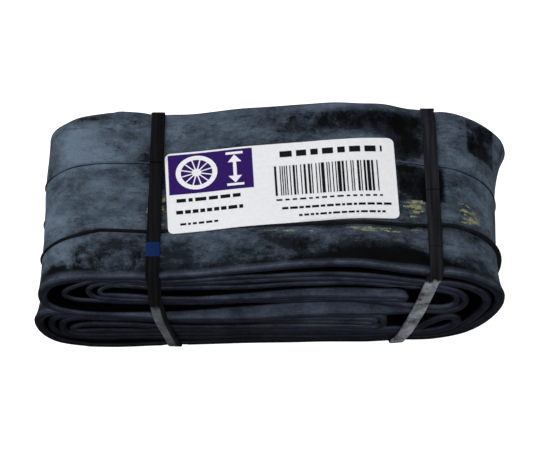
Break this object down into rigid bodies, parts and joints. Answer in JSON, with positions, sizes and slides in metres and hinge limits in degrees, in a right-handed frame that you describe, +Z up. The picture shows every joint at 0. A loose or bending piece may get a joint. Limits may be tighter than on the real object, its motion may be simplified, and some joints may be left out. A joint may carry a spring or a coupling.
{
  "type": "bicycle inner tube",
  "caption": "Butyl bicycle inner tube pressed flat, folded into a layered block, held by flat rubber bands, with a size sticker and a folded-in valve.",
  "frame": {"origin": "centre of the block's footprint, on the surface that it rests on", "axes": "+X along the block, towards the end with the single large fold; -Y towards the front edges of the layers; +Z up, towards the sticker"},
  "size_m": [0.11, 0.0496, 0.036],
  "materials": {
    "tube_rubber": "matte, talc bloom",
    "pad_rubber": "matte",
    "sleeve_rubber": "matte",
    "band_rubber": "matte",
    "plated_metal": "satin nickel plate",
    "brass": "turned",
    "cap_plastic": "matte",
    "label_paper": "coated paper"
  },
  "bodies": {
    "tube": {"tube_body": "tube_rubber", "valve_base_pad": "pad_rubber", "valve_stem": "plated_metal", "plunger": "brass", "valve_rubber": "sleeve_rubber", "band_left": "band_rubber", "band_right": "band_rubber", "size_label": "label_paper"},
    "rim_nut": {"rim_nut": "plated_metal"},
    "top_nut": {"top_nut": "plated_metal"},
    "dust_cap": {"dust_cap": "cap_plastic"}
  },
  "joints": [
    {"name": "rim_nut_turn", "type": "hinge", "parent": "tube", "child": "rim_nut", "pos_m": [0.0382, 0, 0.0097], "axis": [-1, 0, 0], "continuous": true},
    {"name": "top_nut_turn", "type": "hinge", "parent": "tube", "child": "top_nut", "pos_m": [0.0382, 0, 0.0097], "axis": [-1, 0, 0], "continuous": true},
    {"name": "dust_cap_turn", "type": "hinge", "parent": "tube", "child": "dust_cap", "pos_m": [0.0382, 0, 0.0097], "axis": [-1, 0, 0], "continuous": true}
  ]
}
